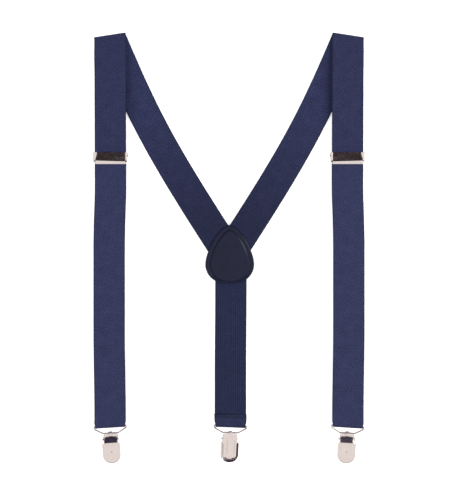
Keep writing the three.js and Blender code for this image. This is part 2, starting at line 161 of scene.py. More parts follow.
def resampled(points, step):
    """The same line with a point at least every step."""
    out = [points[0]]
    for a, b in zip(points, points[1:]):
        length = math.dist(a, b)
        n = max(1, math.ceil(length / step))
        out += [tuple(p + (q - p) * i / n for p, q in zip(a, b)) for i in range(1, n + 1)]
    return out


def new_object(name, bm, materials):
    bmesh.ops.recalc_face_normals(bm, faces=bm.faces)
    mesh = bpy.data.meshes.new(name)
    bm.to_mesh(mesh)
    bm.free()
    for polygon in mesh.polygons:
        polygon.use_smooth = True
    mesh.set_sharp_from_angle(angle=math.radians(42))
    for material in materials:
        mesh.materials.append(material)
    obj = bpy.data.objects.new(name, mesh)
    bpy.context.scene.collection.objects.link(obj)
    return obj


class Row:
    """One cross-section of a strip: centre, direction across, face normal and half width."""

    def __init__(self, centre, across, normal, half):
        self.centre = Vector(centre)
        self.across = Vector(across)
        self.normal = Vector(normal)
        self.half = half


def band(bm, rows, thickness, columns=14, shape=None, sides=(0, 1), under=None):
    """Closed skin round a strip. shape(x, row index) lifts the sheet along its normal, and
    under(x, row index) thickens it on its other face.
    sides are the material numbers of the face on the normal's side and of the other face."""
    uv = bm.loops.layers.uv.verify()
    t = thickness / 2
    run = 0.0
    rings = []
    for i, row in enumerate(rows):
        if i:
            run += (row.centre - rows[i - 1].centre).length
        flat = max(row.half - t, row.half * 0.4)
        edge = row.half - flat
        places = [(-flat + 2 * flat * c / columns, t) for c in range(columns + 1)]
        places += [(flat + edge * math.cos(a), t * math.sin(a)) for a in (math.pi / 4, 0, -math.pi / 4)]
        places += [(flat - 2 * flat * c / columns, -t) for c in range(columns + 1)]
        places += [(-flat - edge * math.cos(a), t * math.sin(a)) for a in (-math.pi / 4, 0, math.pi / 4)]
        ring = []
        for x, z in places:
            lift = shape(x, i) if shape else 0
            if under:
                lift -= under(x, i) * min(1, max(0, 0.5 - z / t / 2))
            point = row.centre + row.across * x + row.normal * (z + lift)
            ring.append((bm.verts.new(point), x, run))
        rings.append(ring)
    count = len(rings[0])
    for a, b in zip(rings, rings[1:]):
        for j in range(count):
            k = (j + 1) % count
            corners = (a[j], b[j], b[k], a[k])
            face = bm.faces.new([c[0] for c in corners])
            on_other_face = columns + 2 <= j <= 2 * columns + 4
            face.material_index = sides[1] if on_other_face else sides[0]
            for loop, corner in zip(face.loops, corners):
                loop[uv].uv = (corner[1] * MM, corner[2] * MM)
    for ring in (rings[0], rings[-1]):
        face = bm.faces.new([c[0] for c in ring])
        face.material_index = sides[0]
        for loop, corner in zip(face.loops, ring):
            loop[uv].uv = (corner[1] * MM, corner[2] * MM)
    return run


def profile_rows(path, half, x=0.0, flip=1, lean=None):
    """Rows along a line of (y, z) points, running across X. half and lean may be functions of y."""
    rows = []
    for i, (y, z) in enumerate(path):
        a = Vector(path[max(0, i - 1)])
        b = Vector(path[min(len(path) - 1, i + 1)])
        t = (b - a).normalized()
        slope = lean(y) if lean else 0
        across = Vector((flip, flip * slope, 0))
        forward = Vector((0, t.x, t.y))
        normal = Vector((flip, 0, 0)).cross(forward).normalized()
        width = half(y) if callable(half) else half
        rows.append(Row((x, y, z), across, normal, width))
    return rows


def prism(bm, outline, x0, x1, bevel=0.15):
    """Solid from a (y, z) outline between x0 and x1, with softened edges."""
    part = bmesh.new()
    near = [part.verts.new((x0, y, z)) for y, z in outline]
    far = [part.verts.new((x1, y, z)) for y, z in outline]
    part.faces.new(near)
    part.faces.new(list(reversed(far)))
    for i in range(len(outline)):
        k = (i + 1) % len(outline)
        part.faces.new((near[k], near[i], far[i], far[k]))
    bmesh.ops.recalc_face_normals(part, faces=part.faces)
    if bevel:
        sharp = [e for e in part.edges if e.calc_face_angle(0) > 0.7]
        bmesh.ops.bevel(part, geom=sharp, offset=bevel, segments=2, profile=0.5, affect="EDGES")
    merge(bm, part)


def merge(bm, part):
    mesh = bpy.data.meshes.new("part")
    part.to_mesh(mesh)
    part.free()
    bm.from_mesh(mesh)
    bpy.data.meshes.remove(mesh)


def rod(bm, r, x0, x1, y, z, segments=24, dome=0.35):
    """Round bar along X with slightly domed ends."""
    part = bmesh.new()
    stations = [(x0, r * 0.45), (x0 + dome * 0.3, r * 0.85), (x0 + dome, r)]
    stations += [(x1 - dome, r), (x1 - dome * 0.3, r * 0.85), (x1, r * 0.45)]
    rings = []
    for x, radius in stations:
        circle = arc(y, z, radius, 0, 360 - 360 / segments, segments - 1)
        rings.append([part.verts.new((x, cy, cz)) for cy, cz in circle])
    for a, b in zip(rings, rings[1:]):
        for j in range(segments):
            k = (j + 1) % segments
            part.faces.new((a[j], a[k], b[k], b[j]))
    part.faces.new(rings[0])
    part.faces.new(list(reversed(rings[-1])))
    merge(bm, part)


def tube(bm, points, r, sides=14):
    """Closed round loop of wire through points in one plane (local XY)."""
    part = bmesh.new()
    n = len(points)
    rings = []
    for i, p in enumerate(points):
        t = (Vector(points[(i + 1) % n]) - Vector(points[i - 1])).normalized()
        ring = []
        for j in range(sides):
            a = 2 * math.pi * j / sides
            x = p[0] - t.y * r * math.cos(a)
            y = p[1] + t.x * r * math.cos(a)
            ring.append(part.verts.new((x, y, r * math.sin(a))))
        rings.append(ring)
    for i in range(n):
        a, b = rings[i], rings[(i + 1) % n]
        for j in range(sides):
            k = (j + 1) % sides
            part.faces.new((a[j], a[k], b[k], b[j]))
    merge(bm, part)


# ---------------------------------------------------------------- materials
class Nodes:
    """A material's node tree, with short calls to add and join nodes."""

    def __init__(self, name):
        self.material = bpy.data.materials.new(name)
        self.material.use_nodes = True
        self.tree = self.material.node_tree
        self.shader = self.tree.nodes["Principled BSDF"]

    def add(self, kind, inputs=None, **settings):
        node = self.tree.nodes.new(kind)
        for key, value in settings.items():
            setattr(node, key, value)
        for key, value in (inputs or {}).items():
            self.feed(node.inputs[key], value)
        return node

    def feed(self, socket, value):
        if isinstance(value, bpy.types.NodeSocket):
            self.tree.links.new(value, socket)
        else:
            socket.default_value = value

    def math(self, operation, a, b=0.0):
        return self.add("ShaderNodeMath", {0: a, 1: b}, operation=operation).outputs[0]

    def ramp(self, value, low_end, high_end):
        node = self.add("ShaderNodeMapRange", {0: value, 1: low_end, 2: high_end})
        return node.outputs[0]

    def mix(self, factor, a, b):
        node = self.add("ShaderNodeMix", data_type="RGBA")
        self.feed(node.inputs[0], factor)
        self.feed(node.inputs[6], a)
        self.feed(node.inputs[7], b)
        return node.outputs[2]

    def noise(self, vector, scale, detail=3.0):
        inputs = {"Vector": vector, "Scale": scale, "Detail": detail}
        return self.add("ShaderNodeTexNoise", inputs).outputs[0]

    def set(self, **sockets):
        for key, value in sockets.items():
            self.feed(self.shader.inputs[key.replace("_", " ")], value)

    def bump(self, height, strength, distance):
        inputs = {"Height": height, "Strength": strength, "Distance": distance}
        self.feed(self.shader.inputs["Normal"], self.add("ShaderNodeBump", inputs).outputs[0])


def webbing_material(name, light, dark, twill=0, painted_shade_ramp=None, relief=0.45):
    """Elastic webbing. Its UV is metres across and along the strap. twill is the slant's sign, or 0
    for lengthwise ribs. fade is (start, end, factor) and paints shade along the strap: the colour is
    multiplied by factor up to start and is itself again by end. relief is how strongly the weave shows."""
    m = Nodes(name)
    uv = m.add("ShaderNodeTexCoord").outputs["UV"]
    across, along, _ = m.add("ShaderNodeSeparateXYZ", {0: uv}).outputs
    twill_pitch, rib_pitch, pick_pitch = 0.0026, 0.0024, 0.0008

    def wave(value, pitch):
        return m.ramp(m.math("SINE", m.math("MULTIPLY", value, 2 * math.pi / pitch)), -1.0, 1.0)

    if twill:
        slanted = m.math("MULTIPLY", along, twill)
        wale = wave(m.math("ADD", across, slanted), twill_pitch)
        pick = wave(m.math("SUBTRACT", across, slanted), twill_pitch)
    else:
        wale = wave(across, rib_pitch)
        pick = wave(along, pick_pitch)
    weave = m.math("ADD", m.math("MULTIPLY", wale, 0.65), m.math("MULTIPLY", pick, 0.35))
    yarn = m.noise(uv, 700.0, 2.0)
    fuzz = m.noise(uv, 1500.0, 4.0)
    patchy = m.noise(uv, 90.0, 3.0)
    tone = m.math("ADD", m.math("MULTIPLY", weave, relief), m.math("MULTIPLY", fuzz, 0.25))
    tone = m.math("ADD", tone, m.math("MULTIPLY", yarn, 0.9))
    tone = m.math("ADD", tone, m.math("MULTIPLY", patchy, 0.25))
    # Partly painted shade: the weave's hollows, which the bump also sinks, get the dark colour; the noise
    # terms are the yarn's own tone.
    colour = m.mix(m.ramp(tone, 0.6, 1.25), dark, light)
    edge = m.ramp(m.math("ABSOLUTE", across), 0.0160, 0.0175)
    shade = [c * 0.55 for c in dark[:3]] + [1]
    colour = m.mix(m.math("MULTIPLY", edge, 0.6), colour, shade)
    # Painted shade: darker towards the start of the strip.
    if painted_shade_ramp:
        start, end, factor = painted_shade_ramp
        shaded_colour = m.mix(1 - factor, colour, (0, 0, 0, 1))
        colour = m.mix(m.ramp(along, start, end), shaded_colour, colour)
    m.set(Base_Color=colour, Roughness=m.ramp(fuzz, -1.2, 1.3), Specular_IOR_Level=0.2)
    m.set(Sheen_Weight=0.08, Sheen_Roughness=0.45, Sheen_Tint=(0.45, 0.5, 0.75, 1))
    m.bump(m.math("ADD", weave, m.math("MULTIPLY", fuzz, 0.5)), 0.55, 0.00016)
    return m.material


def leather_material():
    m = Nodes("leather_patch")
    place = m.add("ShaderNodeTexCoord").outputs["Object"]
    grain = m.add("ShaderNodeTexVoronoi", {"Vector": place, "Scale": 1500.0}, feature="SMOOTH_F1").outputs[0]
    cloud = m.noise(place, 90.0, 4.0)
    colour = m.mix(m.ramp(cloud, 0.3, 0.75), (0.0036, 0.0050, 0.018, 1), (0.0060, 0.0080, 0.026, 1))
    m.set(Base_Color=colour, Roughness=m.ramp(cloud, -1.6, 3.4), Specular_IOR_Level=0.12)
    m.set(Coat_Weight=0.3, Coat_Roughness=0.13)
    m.bump(m.math("ADD", grain, m.math("MULTIPLY", cloud, 1.5)), 0.18, 0.00012)
    return m.material


def thread_material(name, colour):
    m = Nodes(name)
    place = m.add("ShaderNodeTexCoord").outputs["Object"]
    ply = m.add("ShaderNodeTexWave", {"Vector": place, "Scale": 900.0, "Distortion": 2.0}).outputs[1]
    # Painted shade: the thread is darker in the hollows between its plies, where the bump sinks it.
    ply_shaded = m.mix(ply, [c * 0.6 for c in colour[:3]] + [1], colour)
    m.set(Base_Color=ply_shaded, Roughness=0.6, Sheen_Weight=0.2, Sheen_Roughness=0.4)
    m.bump(ply, 0.4, 0.0001)
    return m.material


def nickel_material(name, brushed):
    """Nickel-plated steel: fine random scratches and faint cloudiness in the polish."""
    m = Nodes(name)
    place = m.add("ShaderNodeTexCoord").outputs["Object"]
    cloud = m.noise(place, 160.0, 4.0)
    stretched = m.add("ShaderNodeMapping", {"Vector": place, "Scale": (900.0, 90.0, 900.0)}).outputs[0]
    scratch = m.noise(stretched, 3.0, 5.0)
    colour = m.mix(m.ramp(cloud, 0.25, 0.8), (0.78, 0.685, 0.65, 1), (0.845, 0.755, 0.72, 1))
    base = 0.13 if brushed else 0.06
    rough = m.math("ADD", m.math("MULTIPLY", m.ramp(cloud, 0.2, 0.9), 0.09), base)
    m.set(Base_Color=colour, Metallic=1.0, Roughness=rough)
    m.bump(m.math("ADD", scratch, cloud), 0.025, 0.00008)
    return m.material


def pressed_material():
    """Nickel over a lightly hammered stamping: the reflections break up into patches."""
    m = Nodes("nickel_pressed")
    place = m.add("ShaderNodeTexCoord").outputs["Object"]
    dents = m.add("ShaderNodeTexVoronoi", {"Vector": place, "Scale": 420.0}, feature="SMOOTH_F1").outputs[0]
    cloud = m.noise(place, 260.0, 5.0)
    colour = m.mix(cloud, (0.72, 0.66, 0.64, 1), (0.82, 0.76, 0.72, 1))
    m.set(Base_Color=colour, Metallic=1.0, Roughness=m.ramp(cloud, -0.35, 7.0))
    m.bump(m.math("ADD", dents, cloud), 0.06, 0.00015)
    return m.material


def plastic_material():
    m = Nodes("grip_plastic")
    place = m.add("ShaderNodeTexCoord").outputs["Object"]
    speckle = m.noise(place, 1400.0, 3.0)
    colour = m.mix(speckle, (0.014, 0.014, 0.017, 1), (0.028, 0.028, 0.033, 1))
    m.set(Base_Color=colour, Roughness=m.ramp(speckle, -0.9, 1.6))
    m.bump(speckle, 0.2, 0.0001)
    return m.material


# Each webbing is a light and a dark linear colour. The weave's crests get the light one and its hollows the
# dark one, which is painted shade; the noise mixed in is the yarn's own uneven tone.
LOWER = (0.040, 0.046, 0.113, 1), (0.0079, 0.0100, 0.030, 1)
UPPER = (0.034, 0.039, 0.100, 1), (0.0067, 0.0084, 0.026, 1)
INNER = (0.0213, 0.0275, 0.071, 1), (0.0048, 0.0061, 0.019, 1)
DIAGONAL = (0.0455, 0.054, 0.139, 1), (0.0106, 0.0130, 0.039, 1)
HEM = (0.030, 0.037, 0.089, 1), (0.0061, 0.0079, 0.024, 1)
# Painted shadow: near-black webbing colours for the hem's cut end, which draw the shadow line above the hem.
PAINTED_SHADOW_COLOURS = (0.008, 0.010, 0.028, 1), (0.003, 0.004, 0.012, 1)
LOWER_TWILL = {
    name: webbing_material(f"webbing_lower_{name}", *LOWER, twill=-side) for name, side in SIDES.items()
}
UPPER_TWILL = {
    name: webbing_material(f"webbing_upper_{name}", *UPPER, twill=-side) for name, side in SIDES.items()
}
HEM_TWILL = webbing_material("webbing_hem", *HEM, twill=1)
# Painted shadow line on the hem's cut end.
PAINTED_SHADOW_LINE = webbing_material("webbing_painted_shadow_line", *PAINTED_SHADOW_COLOURS)
RIBBED = webbing_material("webbing_inner_ribbed", *INNER)
# Painted shade: the diagonal strap's colour is darkened towards its end at the patch.
RIBBED_DIAGONAL = webbing_material(
    "webbing_diagonal_ribbed", *DIAGONAL, painted_shade_ramp=(0.04, 0.22, 0.54), relief=0.25
)
RIBBED_UPPER = webbing_material("webbing_upper_ribbed", *DIAGONAL, relief=0.25)
LEATHER = leather_material()
SEAM_THREAD = thread_material("seam_thread", (0.007, 0.009, 0.022, 1))
HEM_THREAD = thread_material("hem_thread", (0.006, 0.008, 0.021, 1))
NICKEL = nickel_material("nickel_satin", True)
MIRROR = nickel_material("nickel_mirror", False)
PRESSED = pressed_material()
PLASTIC = plastic_material()


# ---------------------------------------------------------------- camera, lights and floor
def studio_walls(tree):
    """A bright tent with dark strips for the metal to reflect: one on the left and one each towards -Y
    and +Y of straight up. They end above the horizon, so the low walls stay bright."""
    def node(kind, inputs, **settings):
        made = tree.nodes.new(kind)
        for key, value in settings.items():
            setattr(made, key, value)
        for key, value in inputs.items():
            if isinstance(value, bpy.types.NodeSocket):
                tree.links.new(value, made.inputs[key])
            else:
                made.inputs[key].default_value = value
        return made.outputs

    def step(value, start, end):
        inputs = {0: value, 1: start, 2: end}
        return node("ShaderNodeMapRange", inputs, interpolation_type="SMOOTHSTEP")[0]

    def times(a, b):
        return node("ShaderNodeMath", {0: a, 1: b}, operation="MULTIPLY")[0]

    way = node("ShaderNodeTexCoord", {})["Generated"]
    x, y, z = node("ShaderNodeSeparateXYZ", {0: way})
    lean = node("ShaderNodeMath", {0: y, 1: z}, operation="ARCTAN2")[0]
    behind = times(step(lean, 0.16, 0.24), step(lean, 1.15, 0.95))
    ahead = times(step(lean, -0.38, -0.44), step(lean, -1.15, -0.95))
    sideways = node("ShaderNodeMath", {0: x, 1: z}, operation="ARCTAN2")[0]
    left = times(times(step(sideways, -0.3, -0.5), step(sideways, -1.15, -0.95)), 0.85)
    colour = (0.95, 0.93, 0.925, 1)
    for strip, tint in ((left, (0.040, 0.034, 0.040, 1)), (ahead, (0.036, 0.028, 0.030, 1)),
                        (behind, (0.032, 0.028, 0.060, 1))):
        colour = node("ShaderNodeMix", {0: strip, 6: colour, 7: tint}, data_type="RGBA")[2]
    tree.links.new(colour, tree.nodes["Background"].inputs[0])


def softbox(name, place, size, power, in_reflections):
    light = bpy.data.lights.new(name, "AREA")
    light.shape = "RECTANGLE"
    light.size, light.size_y = size
    light.energy = power
    obj = bpy.data.objects.new(name, light)
    obj.location = place
    obj.rotation_euler = (-Vector(place)).to_track_quat("-Z", "Y").to_euler()
    obj.visible_camera = False
    obj.visible_glossy = in_reflections
    bpy.context.scene.collection.objects.link(obj)


def build_stage():
    lo, hi = cad_box
    centre = (lo + hi) / 2
    scene = bpy.context.scene
    scene.view_settings.view_transform = "Standard"
    scene.view_settings.look = "None"

    camera = bpy.data.objects.new("camera", bpy.data.cameras.new("camera"))
    scene.collection.objects.link(camera)
    scene.camera = camera
    distance = 2.4
    view_width = 0.5127  # the picture's width on the floor
    camera.data.sensor_fit = "HORIZONTAL"
    camera.data.lens = camera.data.sensor_width * distance / view_width
    # The photograph is framed slightly off the object's middle.
    camera.location = (centre.x + 0.0011, centre.y - 0.0023, distance)
    camera.data.clip_end = 20

    world = bpy.data.worlds.new("studio")
    scene.world = world
    world.use_nodes = True
    studio_walls(world.node_tree)
    softbox("left_wall", (-1.3, 0, 1.1), (0.6, 1.6), 25, False)
    softbox("right_wall", (1.3, 0, 1.1), (0.6, 1.6), 21, False)
    softbox("side_box", (1.09, 0.55, 1.0), (0.22, 1.6), 6.5, True)

    bm = bmesh.new()
    bmesh.ops.create_grid(bm, x_segments=8, y_segments=8, size=4.0)
    floor_material = Nodes("floor")
    place = floor_material.add("ShaderNodeTexCoord").outputs["Object"]
    tint = floor_material.mix(floor_material.noise(place, 2.0), (0.9, 0.9, 0.9, 1), (0.94, 0.94, 0.94, 1))
    floor_material.set(Base_Color=tint, Roughness=0.9, Emission_Color=(1, 1, 1, 1), Emission_Strength=0.45)
    mesh = bpy.data.meshes.new("floor")
    bm.to_mesh(mesh)
    bm.free()
    mesh.materials.append(floor_material.material)
    floor = bpy.data.objects.new("floor", mesh)
    floor.location.z = -0.0003
    scene.collection.objects.link(floor)


# ---------------------------------------------------------------- webbing
def strap_wave(y, side):
    """How the front strap wavers as it lies: outwards below the adjuster, inwards at and above it."""
    outwards = 1.1 * smooth(65, 0, y) * smooth(-190, -90, y)
    inwards = 0.5 * smooth(30, 75, y) * smooth(222, 185, y)
    return side * (outwards - inwards)


def slanted(side, degrees):
    """Unit direction up the back, leaning outwards by an angle."""
    angle = math.radians(degrees)
    return Vector((side * math.sin(angle), math.cos(angle), 0))


def upper_rows(name, side):
    """Patch to shoulder, over the fold and down the front to the adjuster: all one webbing."""
    hinge = joint_place(f"shoulder_unfold_{name}")
    axis = -joint_axis(f"shoulder_unfold_{name}")
    tilt = math.atan2(side * -axis.y, axis.x)
    outward = Vector((-axis.y, axis.x, 0))
    # The curve's two handles (length, lean in degrees), fitted to the strap's edges in the photograph.
    patch_handle, fold_handle = (140, 33), (100, 23)
    patch_end = Vector((0, middle("patch_inner").y - 0.7, 0))
    from_patch = patch_end + patch_handle[0] * slanted(side, patch_handle[1])
    to_fold = hinge - fold_handle[0] * slanted(side, fold_handle[1])
    steps = 80
    line = bezier([patch_end, from_patch, to_fold, hinge], steps) + [hinge]
    rows = []
    for i, p in enumerate(line):
        s = i / steps
        t = line[min(i + 1, steps)] - line[max(i - 1, 0)]
        t = Vector((t.x, t.y, 0)).normalized()
        square = Vector((t.y, -t.x, 0))
        near_fold = smooth(0.93, 1.0, s)
        across = (square * (1 - near_fold) + axis * near_fold).normalized()
        half = WEB_HALF / across.dot(square)
        rise = 1 - smooth(38, 58, p.y)
        z = LAYER + rise * (LEATHER_T + GAP)
        rows.append(Row((p.x, p.y, z), across, UP, half))
    fold_half = WEB_HALF / math.cos(tilt)
    for i in range(1, 12):
        a = math.radians(-90 + 15 * i)
        out = outward * math.cos(a) + UP * math.sin(a)
        bulge = outward * math.cos(a) * FOLD_BULGE
        rows.append(Row(hinge + out * FOLD_R + bulge, axis, -out, fold_half))
    top = hinge.z + FOLD_R
    foot = joint_place(f"adjuster_lever_open_{name}").y - PIN_Y + 2.1
    path = rounded_line([(hinge.y, top), (hinge.y - 10, top + 1.6), (hinge.y - 25, top + 4.2),
                         (hinge.y - 60, top + 4.8), (foot + 30, SLIDE_Z + 1.0), (foot + 12, SLIDE_Z),
                         (foot, SLIDE_Z)])
    path = resampled(path, 3.0)
    seam = hinge.y - 12  # where the back piece ends and the front one starts
    for y, z in path:
        near_fold = smooth(hinge.y - 14, hinge.y, y)
        across = Vector((1, axis.y / axis.x * near_fold, 0))
        wave = strap_wave(y, side) * smooth(hinge.y - 2, hinge.y - 30, y)
        rows.append(Row((hinge.x + wave, y, z), across, -UP, WEB_HALF))
    return rows, seam


def build_upper_strap(name, side):
    rows, seam = upper_rows(name, side)
    fold_at = next(i for i, row in enumerate(rows) if row.normal.z < 0)
    cut = next(i for i, row in enumerate(rows) if i > fold_at and row.centre.y < seam)
    names = (f"back_and_shoulder_strap_{name}", f"front_upper_strap_{name}")
    for label, part in zip(names, (rows[:cut + 1], rows[cut:])):
        bm = bmesh.new()
        length = band(bm, part, WEB_T, sides=(0, 1))
        if label == names[0]:
            trim(bm, Vector((side * GAP / 2, 0, 0)), Vector((-side, 0, 0)))
            trim(bm, Vector((0, -8, 0)), Vector((0, -1, 0)))
        bm.transform(Matrix.Scale(MM, 4))
        inner_face = RIBBED_DIAGONAL if label == names[0] else RIBBED_UPPER
        strap = new_object(label, bm, [inner_face, UPPER_TWILL[name]])
        if label == names[0]:
            # Up through the fold: the layer below stays with the back, the one above goes with the front.
            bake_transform(strap)
            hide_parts(f"back_strap_{name}", f"shoulder_fold_{name}")
        else:
            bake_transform(strap)
            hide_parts(f"front_strap_{name}")


def trim(bm, point, outward):
    """Cuts off what lies beyond a plane and closes the cut."""
    geometry = bm.verts[:] + bm.edges[:] + bm.faces[:]
    cut = bmesh.ops.bisect_plane(bm, geom=geometry, plane_co=point, plane_no=outward, clear_outer=True)
    edges = [e for e in cut["geom_cut"] if isinstance(e, bmesh.types.BMEdge)]
    bmesh.ops.edgeloop_fill(bm, edges=edges)


def lean_near(bar_y, slope, start=14):
    return lambda y: slope * (1 - smooth(bar_y + start, bar_y + 60, y))


def narrowed_near(bar_y, reach):
    return lambda y: WEB_HALF - 0.8 * (1 - smooth(bar_y + 0.3, bar_y + reach, y))


def build_lower_loop(name, side):
    bar = joint_place(f"wire_swing_{name}")
    axis = -joint_axis(f"wire_swing_{name}")
    centre_y = joint_place(f"adjuster_lever_open_{name}").y - PIN_Y
    rear_r = 1.3
    rear_y = centre_y - 1.6
    upper = rounded_line([
        (centre_y + 2.0, SLIDE_Z), (centre_y - 7, SLIDE_Z), (centre_y - 11, 3.75), (centre_y - 21, 3.7),
        (centre_y - 27, SECOND), (bar.y + 60, SECOND), (bar.y + 14, SECOND),
        (bar.y + 6, BAR_Z + TURN_R - 0.8), (bar.y + 1.5, BAR_Z + TURN_R),
    ])
    turn = arc(bar.y, BAR_Z, TURN_R, 90, 270, 16)
    rear = arc(rear_y, LAYER + rear_r, rear_r, -90, 90, 12)
    tail_z = LAYER + 2 * rear_r
    tail = rounded_line([(centre_y - 4, tail_z), (centre_y - 7.5, tail_z - 0.3), (centre_y - 10, SECOND),
                         (centre_y - 19.5, SECOND)])
    path = resampled(upper + turn + rear + tail, 4.0)
    lean = lean_near(bar.y, axis.y / axis.x, 12)
    rows = profile_rows(path, narrowed_near(bar.y, 3.5), bar.x, 1, lean)
    for row in rows:
        row.centre.x += strap_wave(row.centre.y, side)
    bm = bmesh.new()
    length = band(bm, rows, WEB_T, sides=(0, 1))
    bm.transform(Matrix.Scale(MM, 4))
    loop = new_object(f"doubled_lower_strap_{name}", bm, [RIBBED, LOWER_TWILL[name]])
    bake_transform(loop)
    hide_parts(f"lower_loop_{name}")


def build_centre_strap():
    bar = joint_place("wire_swing_back")
    axis = -joint_axis("wire_swing_back")
    patch_foot = low("patch_inner").y
    hem_top = middle("centre_hem_stitch").y + 3.4
    under_patch = SECOND
    down = rounded_line([
        (-8.3, under_patch), (patch_foot - 3, under_patch), (patch_foot - 10, LAYER + 0.7),
        (patch_foot - 18, LAYER), (bar.y + 60, LAYER), (bar.y + 12, LAYER),
    ])
    turn = arc(bar.y, BAR_Z, TURN_R, 270, 90, 16)
    hem = rounded_line([(bar.y + 1.5, BAR_Z + TURN_R - 0.05), (bar.y + 3.4, BAR_Z + TURN_R - 0.5),
                        (bar.y + 6.2, SECOND + 0.05), (hem_top - 3.5, SECOND), (hem_top - 1.2, SECOND + 0.4),
                        (hem_top, SECOND + 0.9)])
    path = resampled(down + turn + hem, 4.0)
    lean = lean_near(bar.y, axis.y / axis.x)
    rows = profile_rows(path, narrowed_near(bar.y, 3.5), bar.x, -1, lean)
    for row in rows:
        row.centre.x += 0.5 * smooth(-140, -50, row.centre.y)
        if row.centre.z > SECOND - 0.3:
            flare = 0.45 * smooth(bar.y + 2, bar.y + 8, row.centre.y)
            row.half += flare * (1 - smooth(-160, -60, row.centre.y))
    bm = bmesh.new()
    length = band(bm, rows, WEB_T, sides=(0, 1))
    for face in bm.faces:
        centre = face.calc_center_median()
        if abs(centre.y - hem_top) < 0.9 and centre.z > SECOND:
            face.material_index = 2  # painted shadow: the hem's cut end is near-black, drawing the shadow line above the hem
    bm.transform(Matrix.Scale(MM, 4))
    strap = new_object("centre_strap_webbing", bm, [RIBBED, HEM_TWILL, PAINTED_SHADOW_LINE])
    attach(strap, "back")
    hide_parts("centre_strap")


# ---------------------------------------------------------------- patch and its sewing
def bezier(points, steps):
    a, b, c, d = (Vector(p) for p in points)
    out = []
    for i in range(steps):
        s = i / steps
        out.append((1 - s) ** 3 * a + 3 * s * (1 - s) ** 2 * b + 3 * s * s * (1 - s) * c + s ** 3 * d)
    return out


def patch_ring(inset, steps=30):
    """The patch's outline drawn in by inset, which narrows to about half of that along the foot."""
    lo, hi = low("patch_inner"), high("patch_inner")
    x = (lo.x + hi.x) / 2
    w = (hi.x - lo.x) / 2
    widest = lo.y + 21.7
    right = bezier([(0, lo.y), (22, lo.y), (w, widest - 7.5), (w, widest)], steps)
    right += bezier([(w, widest), (w, widest + 13.5), (13, hi.y - 1.8), (0, hi.y)], steps)
    left = [Vector((-p.x, p.y)) for p in reversed(right[1:])]
    outline = right + [Vector((0, hi.y))] + left
    n = len(outline)
    ring = []
    for i, p in enumerate(outline):
        t = (outline[(i + 1) % n] - outline[i - 1]).normalized()
        depth = inset * (0.52 + 0.48 * smooth(lo.y, lo.y + 15, p.y))
        ring.append(Vector((p.x + x - t.y * depth, p.y + t.x * depth)))
    # The further in, the rounder: each pass averages every point with its neighbours.
    for _ in range(round(inset * steps / 12)):
        ring = [(ring[i - 1] + p * 2 + ring[(i + 1) % n]) / 4 for i, p in enumerate(ring)]
    return ring


SEAM_INSET = 4.3
MIDDLE_INSET = 6.3


def build_patch_layer(node, face):
    """One die-cut leather layer: rolled edge, sewn channel, raised middle. face is +1 or -1."""
    lo, hi = low(node), high(node)
    base, top = (lo.z, hi.z) if face > 0 else (hi.z, lo.z)
    heart = Vector((middle(node).x, middle(node).y - 5))
    rise = abs(top - base)
    steps = [(0.9, 0.0), (0.25, 0.06), (0.0, 0.3), (0.0, 0.62), (0.2, 0.84), (0.65, 0.98), (1.4, 1.04),
             (2.4, 1.04), (3.1, 1.0), (3.6, 0.9), (SEAM_INSET, 0.78), (4.8, 0.85), (5.7, 1.18),
             (MIDDLE_INSET, 1.24)]
    rings = [(patch_ring(inset), base + face * rise * z) for inset, z in steps]
    inner = patch_ring(MIDDLE_INSET)
    for f, z in ((0.12, 1.2), (0.3, 1.2), (0.5, 1.22), (0.7, 1.24), (0.9, 1.24)):
        rings.append(([p.lerp(heart, f) for p in inner], base + face * rise * z))
    flat_side = patch_ring(0.9)
    flat_rings = [([p.lerp(heart, f) for p in flat_side], base) for f in (0.9, 0.5, 0.15)]
    bm = bmesh.new()
    loops = [[bm.verts.new((p.x, p.y, z)) for p in ring] for ring, z in flat_rings + rings]
    for a, b in zip(loops, loops[1:]):
        for i in range(len(a)):
            k = (i + 1) % len(a)
            bm.faces.new((a[i], a[k], b[k], b[i]))
    bm.faces.new(loops[0])
    bm.faces.new(loops[-1])
    bm.transform(Matrix.Scale(MM, 4))
    layer = new_object(node.replace("patch", "leather_patch"), bm, [LEATHER])
    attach(layer, "back")
    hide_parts(node)


def stitch(bm, a, b, r, up, sag=0.35):
    """One visible stitch from a to b: a short thread that dips into the material at both ends."""
    across = (b - a).cross(up).normalized()
    rings = []
    for s, width in ((0, 0.35), (0.12, 0.8), (0.3, 1), (0.5, 1.05), (0.7, 1), (0.88, 0.8), (1, 0.35)):
        centre = a.lerp(b, s) - up * sag * (2 * s - 1) ** 2
        ring = []
        for j in range(8):
            angle = math.pi * j / 4
            ring.append(bm.verts.new(centre + (across * math.cos(angle) + up * math.sin(angle)) * r * width))
        rings.append(ring)
    for p, q in zip(rings, rings[1:]):
        for j in range(8):
            k = (j + 1) % 8
            bm.faces.new((p[j], p[k], q[k], q[j]))
    bm.faces.new(rings[0])
    bm.faces.new(rings[-1])


def build_patch_seam(node, layer, face):
    path = [Vector(p) for p in patch_ring(SEAM_INSET, 60)]
    path.append(path[0])
    z = high(layer).z if face > 0 else low(layer).z
    z -= face * 0.3
    pitch, length = 2.7, 2.1
    bm = bmesh.new()
    travelled, start = 0.0, None
    for a, b in zip(path, path[1:]):
        travelled += (b - a).length
        if start is None and travelled >= pitch - length:
            start = b
            travelled = 0.0
        elif start is not None and travelled >= length:
            stitch(bm, Vector((start.x, start.y, z)), Vector((b.x, b.y, z)), 0.36, UP * face)
            start = None
            travelled = 0.0
    bm.transform(Matrix.Scale(MM, 4))
    seam = new_object(node.replace("patch", "stitches_of_patch"), bm, [SEAM_THREAD])
    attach(seam, "back")
    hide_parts(node)


